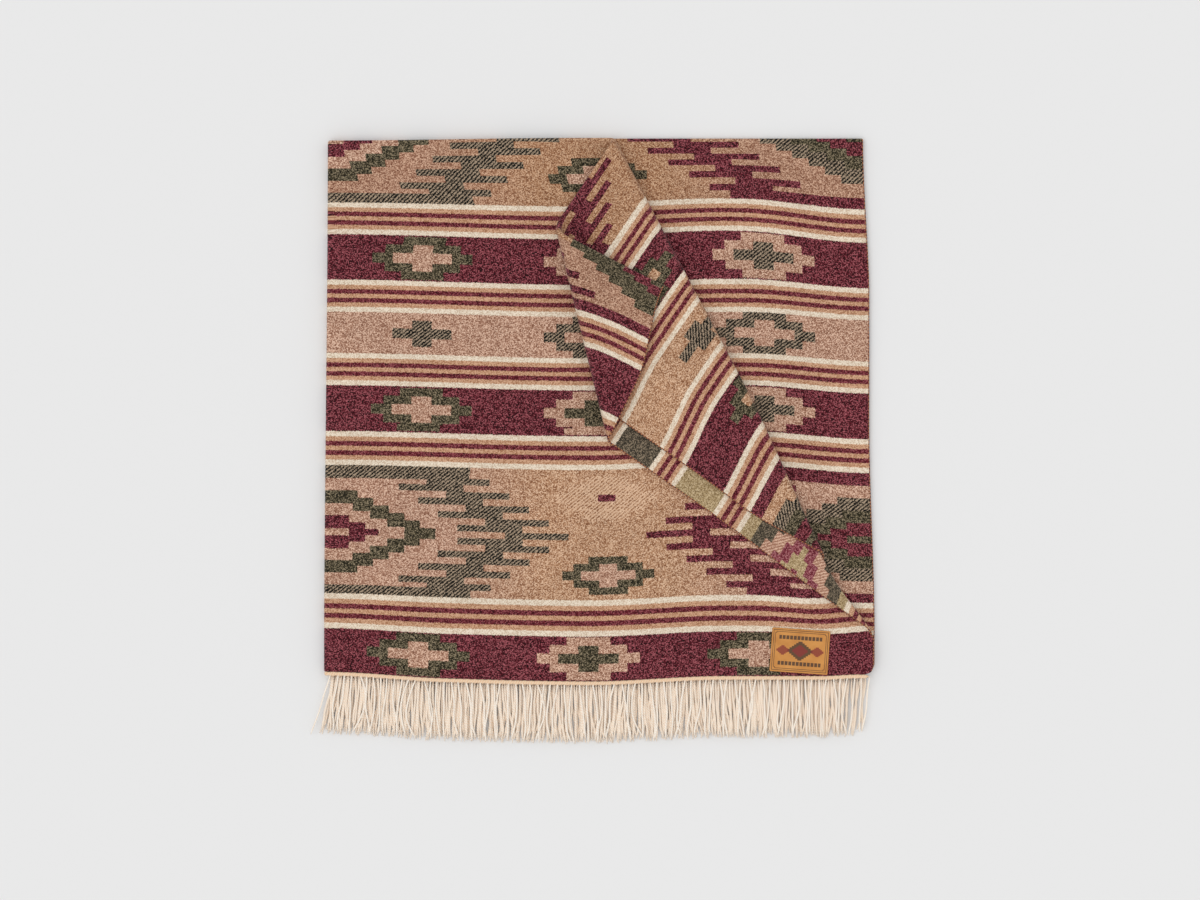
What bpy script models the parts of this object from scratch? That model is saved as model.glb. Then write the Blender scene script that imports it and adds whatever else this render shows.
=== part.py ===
# A fringed woven throw, folded in four, with one corner of its upper two layers turned back twice.
# It is folded at the top first, its far half going under, and then its left half goes behind.
# Lengths are in metres. The folding is worked out with x from the left fold and y from the
# fringed edge. The finished part has its origin under the middle of the folded cloth.

import math
import random
from collections import namedtuple

import bmesh
import bpy
from mathutils import Vector

# The folded cloth
FOLDED_WIDTH = 0.650          # left fold to right selvedge
FOLDED_HEIGHT = 0.637         # fringed edge to top fold
THICKNESS = 0.0024
PITCH = 0.0032                # middle of one layer to the middle of the next
CELL = 0.050                  # widest facet of the cloth
HEM_CELL = 0.017              # and of its last row, beside the fringe
HEM_DEPTH = 0.022
SNAP = 0.0003                 # a corner this close to a cut counts as on it

# The left half is a little narrower, so two of the four selvedges lie further in
SELVEDGE_STEP = 0.029
STEP_AT_TOP_FOLD = 0.0215
STEP_RUN_ABOVE = 0.120        # the step grows over this length before the top fold
STEP_RUN_BELOW = 0.180        # and over this length past it
LEFT_EXTRA = 0.005            # the lower layers reach this much further right than the upper ones

# The second layer's selvedge is drawn further in beside the flap's point
POINT_STEP = 0.021
POINT_STEP_START = 0.370      # where this starts, measured past the top fold
POINT_STEP_RUN = 0.140
POINT_STEP_END = 0.510
POINT_STEP_FADE = 0.090
POINT_STEP_X = 0.350          # and how far in from the selvedge it reaches
POINT_STEP_REACH = 0.250

# The cloth is drawn in by this share of its width, away from its fringed ends
WAIST = 0.0100
WAIST_START = 0.060
WAIST_RUN = 0.250

# The laid stripes sag towards the fringe, in a shallow hollow and again at the right edge
HOLLOW_SAG = 0.0064
HOLLOW_X = 0.313
HOLLOW_REACH_LEFT = 0.320
HOLLOW_REACH_RIGHT = 0.160
RIGHT_SAG = 0.0100
RIGHT_SAG_X = 0.500
RIGHT_SAG_RUN = 0.150
SAG_FADE = 0.100              # from the top fold, and above the fringe on the right
LEFT_RISE = 0.0050            # the lower left corner is pulled up
LEFT_RISE_X = 0.140
LEFT_RISE_Y = 0.180
CORNER_RISE = 0.0030          # and so is the end of the lower right corner
CORNER_RISE_RUN = 0.060
TOP_DROOP = 0.0030            # the top fold drops a little to the left
TOP_DROOP_RUN = 0.300
FLAP_REACH = 0.060            # the sag dies out this far short of the corner fold
LEFT_LEAN = 0.0045            # the left fold leans in towards its top
LEFT_LEAN_RUN = 0.300

# The edge of the corner fold is drawn in, most of all low down, while the flap's far edge stays
PINCH = 0.0105
PINCH_Y = 0.125               # where it is greatest, and how far it reaches up and down from there
PINCH_REACH_UP = 0.225
PINCH_REACH_DOWN = 0.078

# How a fold is split into facets
BEND_FACETS = 5
SETTLE_FACETS = 3

# A fold rolls the cloth on the far side of its line, over or under the rest.
# Radii are at the line's start and end, at the middle of what is folded.
Fold = namedtuple("Fold", "start end start_radius end_radius side settle")
OVER = 1.0
UNDER = -1.0

TOP_FOLD = Fold(
    start=(0.0, FOLDED_HEIGHT), end=(FOLDED_WIDTH, FOLDED_HEIGHT),
    start_radius=PITCH / 2, end_radius=PITCH / 2, side=UNDER, settle=0.0)
TIP_FOLD = Fold(
    start=(0.467, FOLDED_HEIGHT), end=(0.6435, 0.437),
    start_radius=0.013, end_radius=0.0045, side=UNDER, settle=0.070)
CORNER_FOLD = Fold(
    start=(0.339, FOLDED_HEIGHT), end=(FOLDED_WIDTH, 0.0476),
    start_radius=0.0075, end_radius=PITCH, side=OVER, settle=0.080)
LEFT_FOLD = Fold(
    start=(0.0, 0.0), end=(0.0, FOLDED_HEIGHT),
    start_radius=PITCH, end_radius=PITCH, side=UNDER, settle=0.0)

# Soft unevenness of the lying cloth: share of extra loft, and where it is greatest
LOFT = 0.07
LOFT_WAVE_X = 0.43            # lengths of its waves, and where they start
LOFT_WAVE_Y = 0.37
LOFT_PHASE = 0.6
EDGE_LOFT = 0.10              # more near the top and left folds
EDGE_LOFT_REACH = 0.060

# The fringe
HEADER_DEPTH = 0.0040
HEADER_THICKNESS = 0.0020
PART_GAP = 0.0003
STRAND_COUNT = 52             # in each layer
STRAND_WIDTH = 0.0018
STRAND_MARGIN = 0.0075        # from a header's end or fold to its first strand
STRAND_LENGTH = 0.069
STRAND_LENGTH_SPREAD = 0.0035
STRAND_SWAY = 0.0030          # how far apart the tips of a pair may wander
STRAND_CURVE = 1.5            # above 1, a strand leaves its root straight and bends later
STRAND_SPLAY_LEFT = 0.0165    # the tips at the left fold fan outward
STRAND_SPLAY_RIGHT = 0.0075   # the tips at the right edge lean inward
SPLAY_REACH = 0.035
STRAND_DROP = 0.014           # length over which a strand comes down to where it rests
STRAND_SEED = 7

# For each layer from the top down: the height at which its strands rest, and their rings
Layer = namedtuple("Layer", "rest_height rings")
STRAND_REST = {
    1: Layer(rest_height=0.0069, rings=3),
    2: Layer(rest_height=0.0049, rings=2),
    3: Layer(rest_height=0.0029, rings=2),
    4: Layer(rest_height=0.0009, rings=3),
}

# The sewn patch
PATCH_WIDTH = 0.069
PATCH_HEIGHT = 0.052
PATCH_THICKNESS = 0.0011
PATCH_CENTRE = (0.562, 0.0295)
PATCH_TURN = math.radians(-4.0)
PATCH_CORNER = 0.0015

# Each piece's colour and roughness
Finish = namedtuple("Finish", "color roughness")
CLOTH_FINISH = Finish(color=(0.36, 0.16, 0.13), roughness=0.95)
YARN_FINISH = Finish(color=(0.80, 0.72, 0.60), roughness=0.90)
PATCH_FINISH = Finish(color=(0.58, 0.33, 0.13), roughness=0.55)

TURN_LENGTH = math.pi * TOP_FOLD.start_radius
CLOTH_REACH = FOLDED_HEIGHT + TURN_LENGTH / 2 - TOP_FOLD.start_radius   # from fringe to mid-fold
LIFT = 2.5 * PITCH + THICKNESS / 2                                      # puts the lowest layer on z = 0


def ease(t):
    # A soft step from 0 to 1
    t = min(max(t, 0.0), 1.0)
    return t * t * (3.0 - 2.0 * t)


def bump(t):
    # A soft hump, 1 at t = 0 and 0 from t = 1 outward
    return 1.0 - ease(abs(t))


def selvedge_step(v):
    # How far the cloth has crept left at a distance v past the top fold
    if v < 0.0:
        return STEP_AT_TOP_FOLD * ease(1.0 + v / STEP_RUN_ABOVE)
    return STEP_AT_TOP_FOLD + (SELVEDGE_STEP - STEP_AT_TOP_FOLD) * ease(v / STEP_RUN_BELOW)


def point_step(x, v):
    # How much further in the second layer is drawn beside the flap's point
    widened = ease((v - POINT_STEP_START) / POINT_STEP_RUN) - ease((v - POINT_STEP_END) / POINT_STEP_FADE)
    return POINT_STEP * widened * ease((x - POINT_STEP_X) / POINT_STEP_REACH)


def fold_frame(fold):
    # The fold line's start, its direction, the direction towards the moving side, its length
    start = Vector(fold.start)
    run = Vector(fold.end) - start
    along = run.normalized()
    return start, along, Vector((-along.y, along.x)), run.length


def bend(point, fold):
    # Where a point goes when the cloth past the fold line is rolled over
    start, along, across, length = fold_frame(fold)
    offset = Vector((point.x, point.y)) - start
    share = min(max(offset.dot(along) / length, 0.0), 1.0)
    radius = fold.start_radius + (fold.end_radius - fold.start_radius) * share
    past = offset.dot(across)
    if past <= -radius:
        return point.copy()
    angle = (past + radius) / radius
    if angle < math.pi:
        arm = radius - fold.side * point.z
        new_past = arm * math.sin(angle) - radius
        height = fold.side * (radius - arm * math.cos(angle))
    else:
        new_past = (math.pi - 2.0) * radius - past
        beyond = past - (math.pi - 1.0) * radius
        spare = 2.0 * (radius - PITCH)
        if fold.settle > 0.0:
            spare *= 1.0 - ease(beyond / fold.settle)
        height = fold.side * (2.0 * PITCH + spare) - point.z
    shift = (new_past - past) * across
    return Vector((point.x + shift.x, point.y + shift.y, height))


def pinch(point):
    # Draws the turned corner's fold edge inward, right across the flap to its far edge
    start, along, across, length = fold_frame(CORNER_FOLD)
    offset = Vector((point.x, point.y)) - start
    upright = math.atan2(along.x, -along.y)
    flap_width = max((length - offset.dot(along)) * math.tan(upright), SNAP)
    share = 1.0 - ease(-offset.dot(across) / flap_width)
    edge_y = (start + along * offset.dot(along)).y
    reach = PINCH_REACH_UP if edge_y > PINCH_Y else PINCH_REACH_DOWN
    shift = across * (PINCH * bump((edge_y - PINCH_Y) / reach) * share)
    return Vector((point.x - shift.x, point.y - shift.y, point.z))


def loft(x, y):
    # Share by which the lying cloth stands higher than its bare layers
    wave_x = math.sin(math.tau * x / LOFT_WAVE_X + LOFT_PHASE)
    wave = 0.5 + 0.5 * wave_x * math.cos(math.tau * y / LOFT_WAVE_Y)
    edge = max(1.0 - ease(x / EDGE_LOFT_REACH), 1.0 - ease((FOLDED_HEIGHT - y) / EDGE_LOFT_REACH))
    return (LOFT * wave + EDGE_LOFT * edge) * ease(y / EDGE_LOFT_REACH)


def waist(y):
    # Share of its width that the cloth has lost at a height y
    return WAIST * ease((y - WAIST_START) / WAIST_RUN)


def sag(point):
    # How far a point of the laid cloth has slipped towards the fringe, the turned corner apart
    x, y = abs(point.x), point.y
    start, along, across, length = fold_frame(CORNER_FOLD)
    past = (Vector((point.x, y)) - start).dot(across)
    reach = HOLLOW_REACH_LEFT if x < HOLLOW_X else HOLLOW_REACH_RIGHT
    slip = HOLLOW_SAG * bump((x - HOLLOW_X) / reach) * ease((FOLDED_HEIGHT - y) / SAG_FADE)
    right = RIGHT_SAG * ease((x - RIGHT_SAG_X) / RIGHT_SAG_RUN)
    slip += right * ease((FOLDED_HEIGHT - y) / SAG_FADE) * ease(y / SAG_FADE)
    slip -= LEFT_RISE * ease(1.0 - x / LEFT_RISE_X) * ease(1.0 - y / LEFT_RISE_Y)
    corner = ease(1.0 - (FOLDED_WIDTH - x) / CORNER_RISE_RUN) * ease(1.0 - y / CORNER_RISE_RUN)
    slip -= CORNER_RISE * corner
    slip += TOP_DROOP * ease(1.0 - x / TOP_DROOP_RUN) * ease(1.0 - (FOLDED_HEIGHT - y) / SAG_FADE)
    return slip * (1.0 - ease((past + FLAP_REACH) / FLAP_REACH))


def lay_down(point):
    # From the folding frame, with x from the left fold, to the finished part's frame
    x, y = point.x, point.y
    z = (point.z + LIFT) * (1.0 + loft(x, y))
    lean = LEFT_LEAN * ease(y / FOLDED_HEIGHT) * ease(1.0 - x / LEFT_LEAN_RUN)
    return Vector((x + lean - FOLDED_WIDTH / 2, y - FOLDED_HEIGHT / 2, z))


def cut(bm, a, b, faces=None):
    # Splits every face, or each of the given ones, that the upright plane through a and b crosses
    normal = Vector((b[1] - a[1], a[0] - b[0], 0.0))
    geom = bm.verts[:] + bm.edges[:] + bm.faces[:]
    if faces:
        geom = faces + list({edge for face in faces for edge in face.edges})
        geom += list({vert for face in faces for vert in face.verts})
    bmesh.ops.bisect_plane(
        bm, geom=geom, dist=SNAP, plane_co=Vector((a[0], a[1], 0.0)), plane_no=normal)


def cut_fold(bm, fold):
    # Splits the cloth along the bend, and along the slope where the turned side settles
    start, along, across, length = fold_frame(fold)
    ends = ((start, fold.start_radius), (start + along * length, fold.end_radius))
    for step in range(BEND_FACETS + 1):
        turned = math.pi * step / BEND_FACETS - 1.0
        points = [place + across * radius * turned for place, radius in ends]
        cut(bm, *points)
    if fold.settle > 0.0:
        for step in range(1, SETTLE_FACETS + 1):
            slope = fold.settle * step / SETTLE_FACETS
            points = [place + across * ((math.pi - 1.0) * radius + slope) for place, radius in ends]
            cut(bm, *points)


def apply_fold(bm, fold):
    cut_fold(bm, fold)
    for vert in bm.verts:
        vert.co = bend(vert.co, fold)


def spread_cuts(low, high, cell=CELL):
    count = math.ceil((high - low) / cell)
    return [low + (high - low) * step / count for step in range(1, count)]


def finish_object(bm, name, finish):
    # Turns a finished bmesh into a named object with its own material
    bmesh.ops.recalc_face_normals(bm, faces=bm.faces)
    bmesh.ops.triangulate(bm, faces=bm.faces)
    mesh = bpy.data.meshes.new(name)
    bm.to_mesh(mesh)
    bm.free()
    material = bpy.data.materials.new(name)
    material.use_nodes = True
    shader = material.node_tree.nodes["Principled BSDF"]
    shader.inputs["Base Color"].default_value = (*finish.color, 1.0)
    shader.inputs["Roughness"].default_value = finish.roughness
    shader.inputs["Metallic"].default_value = 0.0
    mesh.materials.append(material)
    part = bpy.data.objects.new(name, mesh)
    bpy.context.collection.objects.link(part)
    return part


def flat_slab(low_x, high_x, low_y, high_y, thickness):
    # A flat closed slab, half of its thickness on either side of z = 0
    bm = bmesh.new()
    bmesh.ops.create_cube(bm, size=1.0)
    for vert in bm.verts:
        vert.co.x = low_x if vert.co.x < 0.0 else high_x
        vert.co.y = low_y if vert.co.y < 0.0 else high_y
        vert.co.z *= thickness
    return bm


def build_cloth():
    # The whole cloth is one slab that is folded four times
    low_x, high_x = SELVEDGE_STEP - FOLDED_WIDTH - LEFT_EXTRA, FOLDED_WIDTH
    hem = CLOTH_REACH - HEM_DEPTH
    bm = flat_slab(low_x, high_x, -CLOTH_REACH, CLOTH_REACH, THICKNESS)
    for x in spread_cuts(low_x, high_x):
        cut(bm, (x, 0.0), (x, 1.0))
    for v in [-hem, *spread_cuts(-hem, -TURN_LENGTH), *spread_cuts(TURN_LENGTH, hem), hem]:
        cut(bm, (0.0, v), (1.0, v))
    for x in spread_cuts(low_x, high_x, HEM_CELL):
        hem_faces = [face for face in bm.faces if abs(face.calc_center_median().y) > hem]
        cut(bm, (x, 0.0), (x, 1.0), hem_faces)
    for vert in bm.verts:
        narrowed = vert.co.x * (1.0 - waist(CLOTH_REACH - abs(vert.co.y)))
        vert.co.x = narrowed - selvedge_step(vert.co.y) - point_step(vert.co.x, vert.co.y)
        vert.co.y += CLOTH_REACH
    apply_fold(bm, TOP_FOLD)
    for vert in bm.verts:
        vert.co.z += PITCH / 2
        vert.co.y -= sag(vert.co)
    apply_fold(bm, TIP_FOLD)
    apply_fold(bm, CORNER_FOLD)
    for vert in bm.verts:
        if vert.co.x > 0.0:
            vert.co = pinch(vert.co)
    apply_fold(bm, LEFT_FOLD)
    for vert in bm.verts:
        vert.co = lay_down(vert.co)
    return finish_object(bm, "throw_cloth", CLOTH_FINISH)


def strand_places(reach):
    # Middles of one layer's strands, from its fold to its open end
    run = reach - 2.0 * STRAND_MARGIN
    return [STRAND_MARGIN + run * index / (STRAND_COUNT - 1) for index in range(STRAND_COUNT)]


def strand_rings(root, layer, index, chance):
    # Middles and half sizes of a strand's rings, from its root to its tip
    x = root.x + FOLDED_WIDTH / 2
    length = STRAND_LENGTH + STRAND_LENGTH_SPREAD * chance.uniform(-1.0, 1.0)
    pairing = STRAND_SWAY * (0.5 if index % 2 else -0.5)
    tip_sway = pairing + STRAND_SWAY * chance.uniform(-0.5, 0.5)
    tip_sway -= STRAND_SPLAY_LEFT * math.exp(-x / SPLAY_REACH)
    tip_sway -= STRAND_SPLAY_RIGHT * math.exp(-(FOLDED_WIDTH - x) / SPLAY_REACH)
    half = STRAND_WIDTH / 2
    rest = STRAND_REST[layer]
    rings = []
    for step in range(rest.rings):
        share = step / (rest.rings - 1)
        away = STRAND_DROP + (length - STRAND_DROP) * share
        sway = tip_sway * (away / length) ** STRAND_CURVE
        rings.append((Vector((root.x + sway, root.y - away, rest.rest_height)), half))
    return rings


def grow_strand(bm, root_face, rings):
    # Draws a four-sided strand out of its root face, ring by ring, and closes its tip
    middle = root_face.calc_center_median()
    loop = list(root_face.verts)
    sides = [(math.copysign(1.0, v.co.x - middle.x), math.copysign(1.0, v.co.z - middle.z)) for v in loop]
    bm.faces.remove(root_face)
    for centre, half in rings:
        ring = [bm.verts.new(centre + Vector((sx * half, 0.0, sz * half))) for sx, sz in sides]
        for i in range(4):
            j = (i + 1) % 4
            bm.faces.new((loop[i], loop[j], ring[j], ring[i]))
        loop = ring
    bm.faces.new(loop)


def build_fringe(name, height, right_layer, left_layer, right_end, left_end):
    # One end's fringe: a header strip that turns under at the left fold, with a strand at each place
    half = STRAND_WIDTH / 2
    fold_reach = (math.pi - 1.0) * PITCH
    right_places = strand_places(right_end)
    left_places = [-fold_reach - place for place in strand_places(left_end - fold_reach)]
    bm = flat_slab(-left_end, right_end, -PART_GAP - HEADER_DEPTH, -PART_GAP, HEADER_THICKNESS)
    for place in right_places + left_places:
        cut(bm, (place - half, 0.0), (place - half, 1.0))
        cut(bm, (place + half, 0.0), (place + half, 1.0))
    front = {round(face.calc_center_median().x, 5): face for face in bm.faces if face.normal.y < -0.5}
    right_roots = [front[round(place, 5)] for place in right_places]
    left_roots = [front[round(place, 5)] for place in left_places]
    for vert in bm.verts:
        vert.co.z += height
        vert.co.y -= sag(vert.co)
    cut_fold(bm, LEFT_FOLD)
    for vert in bm.verts:
        vert.co = lay_down(bend(vert.co, LEFT_FOLD))
    chance = random.Random(STRAND_SEED + right_layer)
    for layer, roots in ((right_layer, right_roots), (left_layer, left_roots)):
        for index, root_face in enumerate(roots):
            rings = strand_rings(root_face.calc_center_median(), layer, index, chance)
            grow_strand(bm, root_face, rings)
    return finish_object(bm, name, YARN_FINISH)


def build_patch():
    # A thin slab with clipped corners, lying on the top layer
    half_width, half_height, clip = PATCH_WIDTH / 2, PATCH_HEIGHT / 2, PATCH_CORNER
    corners = []
    for sx, sy in ((1, 1), (-1, 1), (-1, -1), (1, -1)):
        pair = [(sx * half_width, sy * (half_height - clip)), (sx * (half_width - clip), sy * half_height)]
        corners += pair if sx * sy > 0 else pair[::-1]
    turn_x, turn_y = math.cos(PATCH_TURN), math.sin(PATCH_TURN)
    top_of_layers = PITCH / 2 + THICKNESS / 2 + PART_GAP
    bm = bmesh.new()
    outline = []
    for px, py in corners:
        x = PATCH_CENTRE[0] + px * turn_x - py * turn_y
        y = PATCH_CENTRE[1] + px * turn_y + py * turn_x
        outline.append(bm.verts.new((x, y, top_of_layers)))
    base = bm.faces.new(outline)
    grown = bmesh.ops.extrude_face_region(bm, geom=[base])["geom"]
    for item in grown:
        if isinstance(item, bmesh.types.BMVert):
            item.co.z += PATCH_THICKNESS
    cut(bm, PATCH_CENTRE, (PATCH_CENTRE[0], 1.0))
    for vert in bm.verts:
        vert.co = lay_down(vert.co)
    return finish_object(bm, "corner_patch", PATCH_FINISH)


def main():
    for old in list(bpy.data.objects):
        bpy.data.objects.remove(old)
    build_cloth()
    narrow_end = FOLDED_WIDTH - SELVEDGE_STEP
    build_fringe(
        "fringe_outer_end", height=PITCH / 2, right_layer=1, left_layer=4,
        right_end=FOLDED_WIDTH, left_end=narrow_end + LEFT_EXTRA)
    build_fringe(
        "fringe_inner_end", height=-PITCH / 2, right_layer=2, left_layer=3,
        right_end=narrow_end, left_end=FOLDED_WIDTH + LEFT_EXTRA)
    build_patch()


main()
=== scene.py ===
import math
import random

import bmesh
import bpy
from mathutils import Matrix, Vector, noise


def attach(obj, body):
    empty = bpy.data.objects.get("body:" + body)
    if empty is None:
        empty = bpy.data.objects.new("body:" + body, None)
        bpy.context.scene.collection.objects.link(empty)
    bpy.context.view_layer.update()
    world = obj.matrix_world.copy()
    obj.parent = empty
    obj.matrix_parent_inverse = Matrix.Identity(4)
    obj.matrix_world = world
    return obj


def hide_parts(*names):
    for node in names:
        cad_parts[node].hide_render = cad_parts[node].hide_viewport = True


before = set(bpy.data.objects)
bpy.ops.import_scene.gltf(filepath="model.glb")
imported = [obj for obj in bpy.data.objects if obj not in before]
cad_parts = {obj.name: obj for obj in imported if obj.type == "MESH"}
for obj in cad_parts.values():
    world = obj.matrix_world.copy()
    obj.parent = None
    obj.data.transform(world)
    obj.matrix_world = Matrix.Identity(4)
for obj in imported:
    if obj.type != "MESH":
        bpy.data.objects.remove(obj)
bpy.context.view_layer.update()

bpy.ops.object.select_all(action="DESELECT")

# How the throw is folded. x runs from the left fold, y from the fringed edge, as in the solids.
lay = {
    "width": 0.650, "height": 0.637, "thickness": 0.0024, "pitch": 0.0032,
    "selvedgeStep": 0.029, "stepAtTopFold": 0.0215, "stepRunAbove": 0.120, "stepRunBelow": 0.180,
    "leftExtra": 0.005, "pointStep": 0.021, "pointStart": 0.370, "pointRun": 0.140, "pointEnd": 0.510,
    "pointFade": 0.090, "pointX": 0.350, "pointReach": 0.250,
    "pinch": 0.0105, "pinchY": 0.125, "pinchReachUp": 0.225, "pinchReachDown": 0.078,
    "waist": 0.0100, "waistStart": 0.060, "waistRun": 0.250,
    "hollowSag": 0.0064, "hollowX": 0.313, "hollowReachLeft": 0.320, "hollowReachRight": 0.160,
    "rightSag": 0.0100, "rightSagX": 0.500, "rightSagRun": 0.150, "sagFade": 0.100,
    "leftRise": 0.0050, "leftRiseX": 0.140, "leftRiseY": 0.180,
    "cornerRise": 0.0030, "cornerRiseRun": 0.060, "topDroop": 0.0030, "topDroopRun": 0.300,
    "flapReach": 0.060, "leftLean": 0.0045, "leftLeanRun": 0.300,
    "loft": 0.07, "loftWaveX": 0.43, "loftWaveY": 0.37, "loftPhase": 0.6,
    "edgeLoft": 0.10, "edgeLoftReach": 0.060, "floorGap": 0.0001,
}
folds = {
    "top": {"start": (0.0, 0.637), "end": (0.650, 0.637), "radii": (0.0016, 0.0016), "side": -1,
            "settle": 0.0},
    "tip": {"start": (0.467, 0.637), "end": (0.6435, 0.437), "radii": (0.013, 0.0045), "side": -1,
            "settle": 0.070},
    "corner": {"start": (0.339, 0.637), "end": (0.650, 0.0476), "radii": (0.0075, 0.0032), "side": 1,
               "settle": 0.080},
    "left": {"start": (0.0, 0.0), "end": (0.0, 0.637), "radii": (0.0032, 0.0032), "side": -1, "settle": 0.0},
}
clothReach = lay["height"] + lay["pitch"] * (math.pi / 4 - 0.5)   # from the fringed edge to the mid-fold
lift = 2.5 * lay["pitch"] + lay["thickness"] / 2                  # puts the lowest layer on the floor


def ease(t):
    t = min(max(t, 0.0), 1.0)
    return t * t * (3.0 - 2.0 * t)


def bump(t):
    return 1.0 - ease(abs(t))


def selvedgeStep(v):
    if v < 0.0:
        return lay["stepAtTopFold"] * ease(1.0 + v / lay["stepRunAbove"])
    more = lay["selvedgeStep"] - lay["stepAtTopFold"]
    return lay["stepAtTopFold"] + more * ease(v / lay["stepRunBelow"])


def pointStep(x, v):   # how much further in the second layer is drawn beside the flap's point
    widened = ease((v - lay["pointStart"]) / lay["pointRun"]) - ease((v - lay["pointEnd"]) / lay["pointFade"])
    return lay["pointStep"] * widened * ease((x - lay["pointX"]) / lay["pointReach"])


def foldFrame(fold):
    start = Vector(fold["start"])
    run = Vector(fold["end"]) - start
    along = run.normalized()
    return start, along, Vector((-along.y, along.x)), run.length


def bend(point, fold):   # where a point goes when the cloth past the fold's line is rolled over
    start, along, across, length = foldFrame(fold)
    offset = Vector((point.x, point.y)) - start
    share = min(max(offset.dot(along) / length, 0.0), 1.0)
    radius = fold["radii"][0] + (fold["radii"][1] - fold["radii"][0]) * share
    past = offset.dot(across)
    if past <= -radius:
        return point.copy()
    angle = (past + radius) / radius
    if angle < math.pi:
        arm = radius - fold["side"] * point.z
        newPast = arm * math.sin(angle) - radius
        height = fold["side"] * (radius - arm * math.cos(angle))
    else:
        newPast = (math.pi - 2.0) * radius - past
        beyond = past - (math.pi - 1.0) * radius
        spare = 2.0 * (radius - lay["pitch"])
        if fold["settle"] > 0.0:
            spare *= 1.0 - ease(beyond / fold["settle"])
        height = fold["side"] * (2.0 * lay["pitch"] + spare) - point.z
    shift = (newPast - past) * across
    return Vector((point.x + shift.x, point.y + shift.y, height))


def sag(point):   # how far the laid stripes have slipped towards the fringe
    x, y = abs(point.x), point.y
    start, along, across, length = foldFrame(folds["corner"])
    past = (Vector((point.x, y)) - start).dot(across)
    belowTop = lay["height"] - y
    reach = lay["hollowReachLeft"] if x < lay["hollowX"] else lay["hollowReachRight"]
    slip = lay["hollowSag"] * bump((x - lay["hollowX"]) / reach) * ease(belowTop / lay["sagFade"])
    right = lay["rightSag"] * ease((x - lay["rightSagX"]) / lay["rightSagRun"])
    slip += right * ease(belowTop / lay["sagFade"]) * ease(y / lay["sagFade"])
    slip -= lay["leftRise"] * ease(1.0 - x / lay["leftRiseX"]) * ease(1.0 - y / lay["leftRiseY"])
    corner = ease(1.0 - (lay["width"] - x) / lay["cornerRiseRun"]) * ease(1.0 - y / lay["cornerRiseRun"])
    slip -= lay["cornerRise"] * corner
    droop = ease(1.0 - x / lay["topDroopRun"]) * ease(1.0 - belowTop / lay["sagFade"])
    slip += lay["topDroop"] * droop
    return slip * (1.0 - ease((past + lay["flapReach"]) / lay["flapReach"]))


def pinch(point):   # draws the turned corner's fold edge inward, right across the flap
    start, along, across, length = foldFrame(folds["corner"])
    offset = Vector((point.x, point.y)) - start
    flapWidth = max((length - offset.dot(along)) * math.tan(math.atan2(along.x, -along.y)), 0.0003)
    share = 1.0 - ease(-offset.dot(across) / flapWidth)
    edgeY = (start + along * offset.dot(along)).y
    reach = lay["pinchReachUp"] if edgeY > lay["pinchY"] else lay["pinchReachDown"]
    shift = across * (lay["pinch"] * bump((edgeY - lay["pinchY"]) / reach) * share)
    return Vector((point.x - shift.x, point.y - shift.y, point.z))


# Soft creases of the lying cloth: ends in the folding frame, half width, and height above the rest
creases = [
    ((0.020, 0.150), (0.120, 0.420), 0.026, 0.0007),
    ((0.090, 0.520), (0.300, 0.560), 0.022, 0.0009),
    ((0.300, 0.600), (0.285, 0.420), 0.018, -0.0010),
    ((0.250, 0.300), (0.330, 0.060), 0.030, 0.0009),
    ((0.140, 0.060), (0.240, 0.200), 0.024, -0.0006),
    ((0.400, 0.020), (0.430, 0.160), 0.022, 0.0008),
    ((0.560, 0.560), (0.630, 0.420), 0.024, 0.0010),
    ((0.600, 0.330), (0.640, 0.200), 0.018, -0.0008),
    ((0.420, 0.520), (0.520, 0.300), 0.014, 0.0014),
    ((0.380, 0.330), (0.520, 0.180), 0.010, -0.0012),
]
ripple = {"size": 0.060, "rise": 0.0007, "fineSize": 0.021, "fineRise": 0.00025, "fineSlice": 0.3}


def relief(x, y):   # height of the creases and ripples at a place on the lying cloth
    rise = ripple["rise"] * noise.noise(Vector((x, y, 0.0)) / ripple["size"])
    rise += ripple["fineRise"] * noise.noise(Vector((x, y, ripple["fineSlice"])) / ripple["fineSize"])
    for start, end, half, height in creases:
        run = Vector(end) - Vector(start)
        offset = Vector((x, y)) - Vector(start)
        share = min(max(offset.dot(run) / run.length_squared, 0.0), 1.0)
        away = (offset - run * share).length
        if away < half:
            ends = ease(4.0 * share) * ease(4.0 * (1.0 - share))   # a crease fades over its end quarters
            rise += height * bump(away / half) * ends
    return rise


def layDown(point):   # from the folding frame to the finished throw's own frame
    x, y = point.x, point.y
    waveX = math.sin(math.tau * x / lay["loftWaveX"] + lay["loftPhase"])
    wave = 0.5 + 0.5 * waveX * math.cos(math.tau * y / lay["loftWaveY"])
    edge = max(1.0 - ease(x / lay["edgeLoftReach"]), 1.0 - ease((lay["height"] - y) / lay["edgeLoftReach"]))
    loft = (lay["loft"] * wave + lay["edgeLoft"] * edge) * ease(y / lay["edgeLoftReach"])
    z = (point.z + lift) * (1.0 + loft)
    z += relief(x, y) * ease(z / (4.0 * lay["pitch"]))
    lean = lay["leftLean"] * ease(y / lay["height"]) * ease(1.0 - x / lay["leftLeanRun"])
    return Vector((x + lean - lay["width"] / 2, y - lay["height"] / 2, max(z, lay["floorGap"])))


def cut(bm, a, b, geom=None):   # splits what the upright plane through a and b crosses
    normal = Vector((b[1] - a[1], a[0] - b[0], 0.0))
    geom = geom or bm.verts[:] + bm.edges[:] + bm.faces[:]
    place = Vector((a[0], a[1], 0.0))
    done = bmesh.ops.bisect_plane(bm, geom=geom, dist=cloth["cutNear"], plane_co=place, plane_no=normal)
    return done["geom"]


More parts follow.
